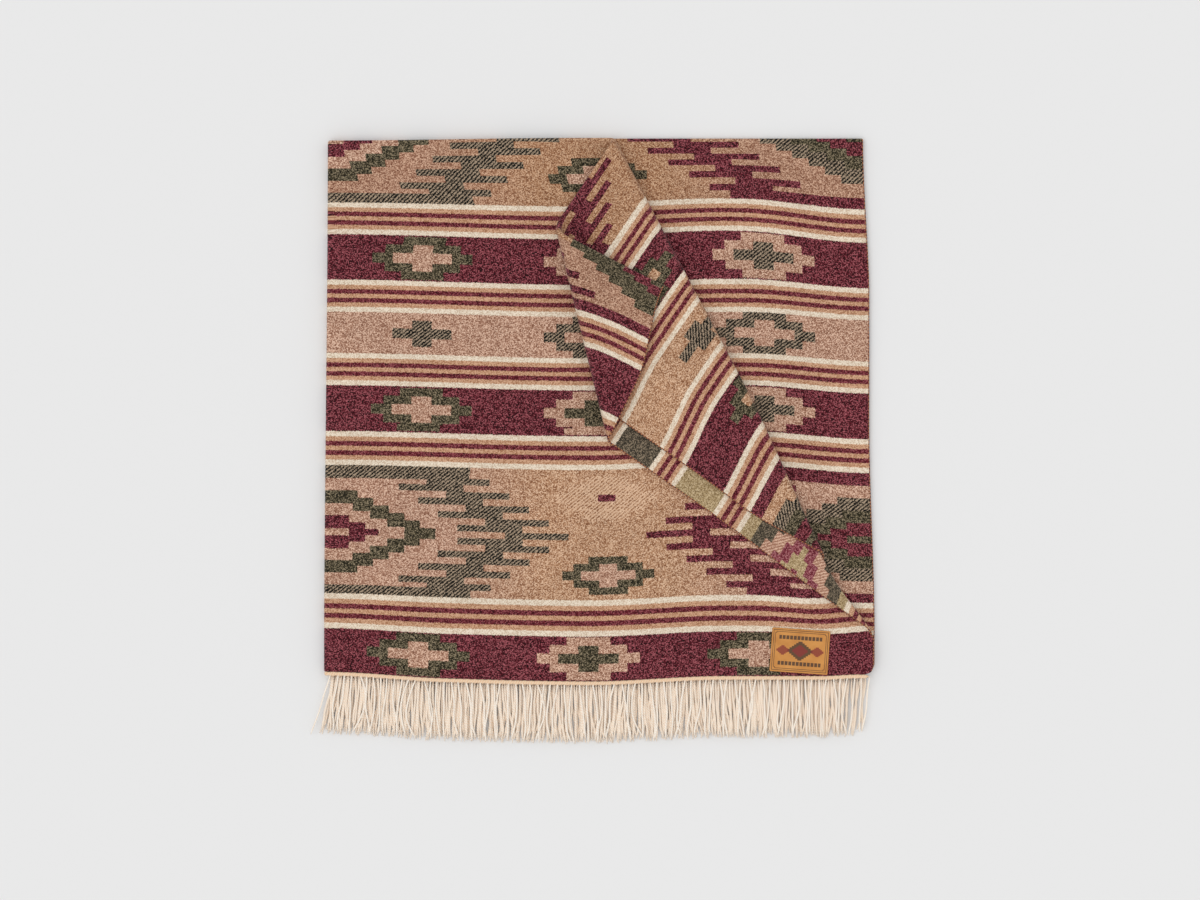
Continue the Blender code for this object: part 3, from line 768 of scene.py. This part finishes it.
def makeStrand(bm, uv, root, layer, index, chance):
    x = root.x + lay["width"] / 2
    length = fringe["length"] + fringe["lengthSpread"] * chance.uniform(-1.0, 1.0)
    tip = fringe["sway"] * (fringe["pairSway"] if index % 2 else -fringe["pairSway"])
    tip += fringe["sway"] * chance.uniform(-fringe["ownSway"], fringe["ownSway"])
    tip += fringe["clump"] * noise.noise(Vector((x / fringe["clumpSize"], fringe["clumpRow"] * layer, 0.5)))
    tip -= fringe["splayLeft"] * math.exp(-x / fringe["splayReach"])
    tip -= fringe["splayRight"] * math.exp(-(lay["width"] - x) / fringe["splayReach"])
    loose = 1.0 if layer == 1 else fringe["lowerLoose"]   # the strands underneath lie straighter
    if layer == 1 and chance.random() < fringe["strayChance"]:
        loose = fringe["stray"]
    curl = loose * fringe["curl"] * chance.uniform(-1.0, 1.0)
    wander = fringe["wander"] * chance.uniform(-1.0, 1.0)
    phase = chance.uniform(0.0, 1.0)
    rest = fringe["rest"][layer - 1]
    half = fringe["strandWidth" if layer == 1 else "lowerWidth"] / 2
    half *= chance.uniform(fringe["thinnest"], fringe["thickest"])
    rings = []
    ringCount = fringe["strandRings"] if layer == 1 else fringe["lowerRings"]
    for step in range(ringCount):
        share = step / (ringCount - 1)
        away = length * share
        side = tip * share ** 1.5 + curl * math.sin(math.pi * share)
        side += wander * math.sin(math.tau * (fringe["wanderTurns"] * share + phase)) * share
        fall = ease(away / fringe["drop"])
        height = root.z + (rest - root.z) * fall
        height += fringe["ripple"] * math.sin(math.tau * (2.0 * share + phase))
        grown = half * (fringe["tipWidth"] if step == ringCount - 1 else 1.0)
        grown *= fringe["rootWidth"] + (1.0 - fringe["rootWidth"]) * ease(share * 6.0)
        centre = Vector((root.x + side, root.y - away, max(height, grown + lay["floorGap"])))
        ring = []
        for k in range(fringe["strandSides"]):
            turn = math.tau * (k / fringe["strandSides"] + 0.25)
            ring.append(bm.verts.new(centre + Vector((math.cos(turn) * grown, 0.0, math.sin(turn) * grown))))
        rings.append((ring, away))
    bridgeRings(bm, uv, rings, fringe["strandSides"], fringe["lowerUv"] if layer > 1 else 0.0)


def makeFringe(name, side, rightLayer, leftLayer, rightEnd, leftEnd):
    bm = bmesh.new()
    uv = bm.loops.layers.uv.new("yarn")
    makeHeader(bm, uv, fringe["headerEndIn"] - leftEnd, rightEnd - fringe["headerEndIn"], side)
    chance = random.Random(fringe["seed"] + rightLayer)
    turnUnder = (math.pi - 1.0) * lay["pitch"]
    for layer, way, first, end in ((rightLayer, 1.0, 0.0, rightEnd), (leftLayer, -1.0, turnUnder, leftEnd)):
        run = end - first - 2.0 * fringe["margin"]
        count = round(run / (fringe["strandPitch"] if layer == 1 else fringe["lowerPitch"]))
        for index in range(count + 1):
            jitter = fringe["jitter"] * chance.uniform(-1.0, 1.0)
            x = way * (first + fringe["margin"] + run * index / count + jitter)
            root = headerPoint(x, side)
            makeStrand(bm, uv, root, layer, index, chance)
    bmesh.ops.recalc_face_normals(bm, faces=bm.faces)
    made = meshObject(bm, name)
    print("fringe:", name, len(made.data.polygons), "faces")
    return made


yarnLook = {
    "roughness": 0.85, "sheen": 0.3, "turnsPerMetre": 330.0, "plies": 2.0, "fuzzScale": 600.0, "fuzz": 0.7,
    "tones": [(0.0, tone(244, 220, 198)), (0.35, tone(254, 240, 224)), (0.9, tone(255, 250, 240))],
    "lowerShade": tone(252, 246, 240), "headerTint": tone(240, 222, 202),
    "bumpStrength": 0.7, "bumpDistance": 0.0005,
}


def yarnMaterial():
    material, chart, shader = newMaterial("cream yarn", yarnLook["roughness"], yarnLook["sheen"])
    tree = material.node_tree
    across, along = chart.split(chart.uvPlace("yarn"))
    turns = chart.calc("MULTIPLY_ADD", along, yarnLook["turnsPerMetre"],
                       chart.calc("MULTIPLY", across, yarnLook["plies"]))
    ply = chart.calc("MULTIPLY", chart.calc("PINGPONG", turns, 0.5), 2.0)
    objectPlace = tree.nodes.new("ShaderNodeTexCoord").outputs["Object"]
    fuzz = chart.calc("SUBTRACT", chart.noise(objectPlace, yarnLook["fuzzScale"], 2.0), 0.5)
    lit = chart.calc("MULTIPLY_ADD", fuzz, yarnLook["fuzz"], ply)
    # The ramp gives painted shade in the grooves between the plies and a painted highlight on their crowns;
    # the fuzz noise is the yarn's own uneven tone
    colour = chart.ramp(lit, yarnLook["tones"])
    # The strands underneath get a painted shade, a faint warm darkening; the header cord gets its own darker
    # cream
    for mark, tintAndShade in (("lowerUv", yarnLook["lowerShade"]), ("headerUv", yarnLook["headerTint"])):
        colour = chart.paint(colour, tintAndShade, chart.above(across, fringe[mark]), "MULTIPLY")
    tree.links.new(colour, shader.inputs["Base Color"])
    chart.emboss(shader, lit, yarnLook["bumpStrength"], yarnLook["bumpDistance"])
    return material


creamYarn = yarnMaterial()
narrowEnd = lay["width"] - lay["selvedgeStep"]
outerFringe = makeFringe("fringe_outer_yarns", 1.0, 1, 4, lay["width"], narrowEnd)
innerFringe = makeFringe("fringe_inner_yarns", -1.0, 2, 3, narrowEnd, lay["width"])
for piece, node in ((outerFringe, "fringe_outer_end"), (innerFringe, "fringe_inner_end")):
    piece.data.materials.append(creamYarn)
    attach(piece, "root")
    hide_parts(node)


# The patch: a thin leather-like plate with a printed frame, sewn on near the lower right corner
patch = {
    "width": 0.069, "height": 0.052, "thickness": 0.0011, "centre": (0.562, 0.0295),
    "turn": math.radians(-4.0), "corner": 0.0016, "cornerSegments": 5, "edge": 0.00035, "edgeSegments": 3,
    "gap": 0.0003, "columns": 18, "rows": 14,
}
# The print, in millimetres from the patch's middle or in from its edge
patchPrint = {
    "roughness": 0.5, "specular": 0.35, "outerLine": (2.2, 0.36), "frameStep": 2.0, "notch": 3.4,
    "innerLine": (2.3, 0.32), "middle": (15.0, 6), "heart": (9.0, 4), "sides": (7.5, 4),
    "sideAway": 20.5, "squat": 0.75, "barRow": (15.4, 2.3), "barEnd": 25.5, "barPitch": 2.2,
    "barGap": 0.45, "inkShare": 0.86, "rimDarkInset": 0.5, "rimDarkShare": 0.35, "cloudScale": 70.0,
    "grainScale": 900.0,
    "leather": [(0.3, tone(188, 124, 58)), (0.7, tone(206, 142, 72))], "ink": tone(52, 38, 32),
    "wine": tone(128, 44, 38), "rimDark": tone(120, 76, 40), "bumpStrength": 0.25, "bumpDistance": 0.0003,
}


def makePatch():
    bpy.ops.object.select_all(action="DESELECT")
    bpy.ops.mesh.primitive_cube_add(size=1.0)
    made = bpy.context.object
    made.name = "corner_patch_printed"
    made.scale = (patch["width"], patch["height"], patch["thickness"])
    bpy.ops.object.transform_apply(scale=True)
    bpy.ops.object.mode_set(mode="EDIT")
    bpy.ops.mesh.select_mode(type="EDGE")
    bpy.ops.mesh.select_all(action="DESELECT")
    bm = bmesh.from_edit_mesh(made.data)
    for edge in bm.edges:   # the four upright corners
        edge.select = abs(edge.verts[0].co.z - edge.verts[1].co.z) > patch["thickness"] / 2
    bmesh.update_edit_mesh(made.data)
    bpy.ops.mesh.bevel(offset=patch["corner"], segments=patch["cornerSegments"])
    for i in range(1, patch["columns"]):
        x = patch["width"] * (i / patch["columns"] - 0.5)
        bpy.ops.mesh.select_all(action="SELECT")
        bpy.ops.mesh.bisect(plane_co=(x, 0.0, 0.0), plane_no=(1.0, 0.0, 0.0))
    for i in range(1, patch["rows"]):
        y = patch["height"] * (i / patch["rows"] - 0.5)
        bpy.ops.mesh.select_all(action="SELECT")
        bpy.ops.mesh.bisect(plane_co=(0.0, y, 0.0), plane_no=(0.0, 1.0, 0.0))
    bpy.ops.object.mode_set(mode="OBJECT")
    soften = made.modifiers.new("softened edge", "BEVEL")
    soften.width = patch["edge"]
    soften.segments = patch["edgeSegments"]
    bpy.ops.object.modifier_apply(modifier=soften.name)
    bpy.ops.object.shade_smooth()
    turnX, turnY = math.cos(patch["turn"]), math.sin(patch["turn"])
    bottom = lay["pitch"] / 2 + lay["thickness"] / 2 + patch["gap"] + patch["thickness"] / 2
    for vert in made.data.vertices:
        x, y, z = vert.co
        placeX = patch["centre"][0] + x * turnX - y * turnY
        placeY = patch["centre"][1] + x * turnY + y * turnX
        vert.co = layDown(Vector((placeX, placeY, bottom + z)))
    print("patch:", len(made.data.polygons), "faces")
    return made


def patchMaterial():
    look = patchPrint
    material, chart, shader = newMaterial("printed tan leather", look["roughness"], 0.0)
    shader.inputs["Specular IOR Level"].default_value = look["specular"]
    tree = material.node_tree
    place = tree.nodes.new("ShaderNodeTexCoord").outputs["Object"]
    mapping = tree.nodes.new("ShaderNodeMapping")
    mapping.vector_type = "TEXTURE"
    mapping.inputs["Location"].default_value = (patch["centre"][0] - lay["width"] / 2,
                                                patch["centre"][1] - lay["height"] / 2, 0.0)
    mapping.inputs["Rotation"].default_value = (0.0, 0.0, patch["turn"])
    tree.links.new(place, mapping.inputs["Vector"])
    x, y = [chart.calc("ABSOLUTE", chart.calc("MULTIPLY", part, 1000.0))
            for part in chart.split(mapping.outputs["Vector"])]
    insetX = chart.calc("SUBTRACT", patch["width"] * 500.0, x)
    insetY = chart.calc("SUBTRACT", patch["height"] * 500.0, y)
    inset = chart.calc("MINIMUM", insetX, insetY)
    notch = chart.calc("SUBTRACT", chart.calc("MAXIMUM", insetX, insetY), look["notch"])
    outerLine = chart.near(inset, *look["outerLine"])
    innerInset = chart.calc("MINIMUM", chart.calc("SUBTRACT", inset, look["frameStep"]), notch)
    innerLine = chart.near(innerInset, *look["innerLine"])

    def steppedDiamond(away, size, steps):
        rows = [chart.box(away, y, size * (steps - k) / steps, size * look["squat"] * (k + 1) / steps)
                for k in range(steps)]
        return chart.either(*rows)

    # A plain stepped diamond between two rows of short bars, with a small one at either side
    middle, heart = steppedDiamond(x, *look["middle"]), steppedDiamond(x, *look["heart"])
    sides = steppedDiamond(chart.away(x, look["sideAway"]), *look["sides"])
    bars = chart.both(chart.near(y, *look["barRow"]), chart.below(x, look["barEnd"]),
                      chart.above(chart.calc("PINGPONG", x, look["barPitch"]), look["barGap"]))
    grain = chart.noise(place, look["grainScale"], 4.0)
    cloudy = chart.noise(place, look["cloudScale"], 3.0)
    colour = chart.ramp(cloudy, look["leather"])
    for mask, inkKind in ((chart.either(outerLine, innerLine), "ink"), (middle, "ink"), (heart, "wine"),
                          (sides, "wine"), (bars, "ink")):
        colour = chart.paint(colour, look[inkKind], chart.calc("MULTIPLY", mask, look["inkShare"]))
    # A darker brown within half a millimetre of the patch's edge
    rimDarkEdge = chart.calc("MULTIPLY", chart.below(inset, look["rimDarkInset"]), look["rimDarkShare"])
    colour = chart.paint(colour, look["rimDark"], rimDarkEdge)
    tree.links.new(colour, shader.inputs["Base Color"])
    chart.emboss(shader, grain, look["bumpStrength"], look["bumpDistance"])
    return material


printedPatch = makePatch()
printedPatch.data.materials.append(patchMaterial())
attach(printedPatch, "root")
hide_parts("corner_patch")

# The studio: a plain pale floor, soft light from all round, and the camera straight above
studio = {
    "floor": (0.80, 0.80, 0.80, 1.0), "floorSize": 14.0, "floorDrop": 0.0004,
    "sky": (1.0, 1.0, 1.0, 1.0), "skyStrength": 0.81, "sunStrength": 0.69, "sunSoftness": 60.0,
    "sunTurn": (6.0, -20.0, 0.0), "cameraPlace": (0.0, -0.0506, 3.372), "lens": 85.0, "sensor": 36.0,
}


def makeStudio():
    bpy.ops.object.select_all(action="DESELECT")
    bpy.ops.mesh.primitive_plane_add(size=studio["floorSize"], location=(0.0, 0.0, -studio["floorDrop"]))
    floor = bpy.context.object
    floor.name = "pale_floor"
    material, chart, shader = newMaterial("pale floor", 0.9, 0.0)
    shader.inputs["Base Color"].default_value = studio["floor"]
    floor.data.materials.append(material)
    world = bpy.data.worlds.new("soft studio")
    world.use_nodes = True
    sky = world.node_tree.nodes["Background"]
    sky.inputs["Color"].default_value = studio["sky"]
    sky.inputs["Strength"].default_value = studio["skyStrength"]
    bpy.context.scene.world = world
    turn = [math.radians(angle) for angle in studio["sunTurn"]]
    bpy.ops.object.light_add(type="SUN", location=(0.0, 0.0, 3.0), rotation=turn)
    sun = bpy.context.object.data
    sun.energy = studio["sunStrength"]
    sun.angle = math.radians(studio["sunSoftness"])
    bpy.ops.object.camera_add(location=studio["cameraPlace"], rotation=(0.0, 0.0, 0.0))
    camera = bpy.context.object
    camera.data.lens = studio["lens"]
    camera.data.sensor_width = studio["sensor"]
    bpy.context.scene.camera = camera
    bpy.context.scene.view_settings.view_transform = "Standard"
    print("studio: floor, light and camera done")


makeStudio()
